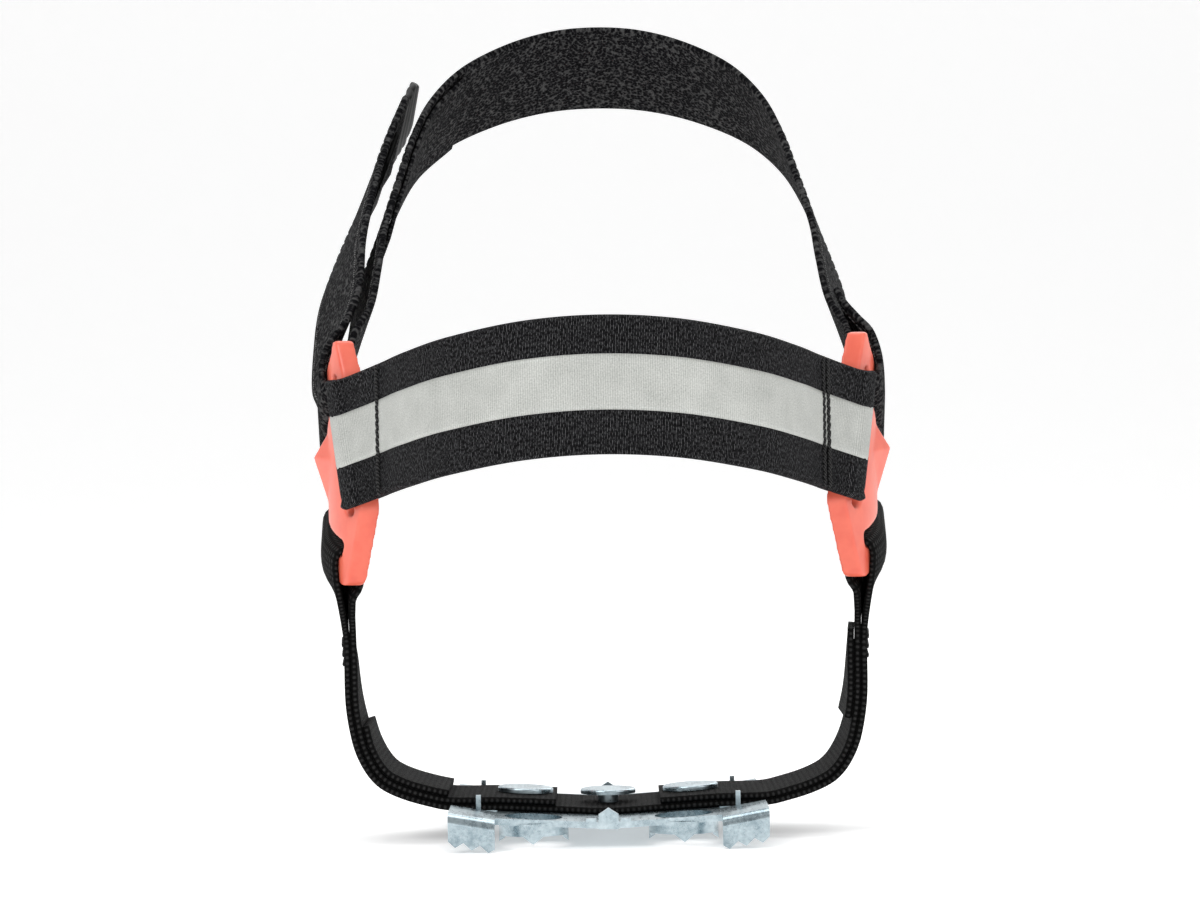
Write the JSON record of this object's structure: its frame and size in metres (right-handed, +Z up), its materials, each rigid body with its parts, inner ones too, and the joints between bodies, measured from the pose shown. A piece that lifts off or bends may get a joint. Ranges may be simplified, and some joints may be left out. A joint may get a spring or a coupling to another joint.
{
  "type": "shoe ice cleats",
  "caption": "Strap-on heel ice cleat: toothed steel plate on a sole strap, triangular side buckles, reflective elastic heel band and a hook-and-loop instep strap.",
  "frame": {"origin": "bottom centre of the bounding box: the ground plane at the tips of the plate's teeth", "axes": "+Z up from the ground to the instep, +Y towards the toe of the boot, +X across to the side without the closure tail"},
  "size_m": [0.1179, 0.1184, 0.1614],
  "materials": {
    "zinc_steel": "bright zinc plate, slightly blue",
    "coral_plastic": "moulded, satin",
    "black_webbing": "woven, matte",
    "black_elastic": "ribbed elastic, matte",
    "silver_reflective": "glass-bead reflective, fine grain",
    "black_thread": "twisted thread",
    "loop_pile": "fuzzy loop pile",
    "hook_tape": "moulded hook tape",
    "black_rubber": "soft, matte"
  },
  "bodies": {
    "sole": {"traction_plate": "zinc_steel", "strap_rivets": "zinc_steel", "sole_strap": "black_webbing", "sole_strap_inner_layer": "black_webbing", "left_strap_tail": "black_webbing", "right_strap_tail": "black_webbing", "left_bar_tack": "black_thread", "right_bar_tack": "black_thread", "left_sole_flex": "black_webbing", "right_sole_flex": "black_webbing"},
    "harness": {"left_buckle": "coral_plastic", "right_buckle": "coral_plastic", "left_sole_loop": "black_webbing", "right_sole_loop": "black_webbing", "left_heel_loop": "black_elastic", "right_heel_loop": "black_elastic", "left_reflective_end": "silver_reflective", "right_reflective_end": "silver_reflective", "left_heel_seam": "black_thread", "right_heel_seam": "black_thread", "left_instep_fold": "black_webbing", "right_instep_loop": "black_webbing", "left_instep_flex": "black_webbing", "right_instep_flex": "black_webbing"},
    "heel_band": {"heel_band": "black_elastic", "reflective_strip": "silver_reflective"},
    "instep": {"instep_strap": "black_webbing", "right_instep_tail": "black_webbing", "loop_pile_tape": "loop_pile"},
    "closure": {"closure_tail": "black_webbing", "hook_patch": "hook_tape", "pull_tab": "black_rubber"}
  },
  "joints": [
    {"name": "harness_tilt", "type": "hinge", "parent": "sole", "child": "harness", "pos_m": [0.00081, -0.00548, 0.0423], "axis": [1, 0, 0], "range_deg": [-15, 15], "deforming": ["left_sole_flex", "right_sole_flex"]},
    {"name": "heel_band_swing", "type": "hinge", "parent": "harness", "child": "heel_band", "pos_m": [0.00081, -0.02928, 0.0779], "axis": [1, 0, 0], "range_deg": [-20, 20]},
    {"name": "instep_swing", "type": "hinge", "parent": "harness", "child": "instep", "pos_m": [0.00081, 0.00298, 0.08854], "axis": [1, 0, 0], "range_deg": [-15, 15], "deforming": ["left_instep_flex", "right_instep_flex"]},
    {"name": "closure_peel", "type": "hinge", "parent": "instep", "child": "closure", "pos_m": [-0.05334, 0.00439, 0.09055], "axis": [0.424, -0.7419, 0.5194], "range_deg": [0, 90]}
  ]
}
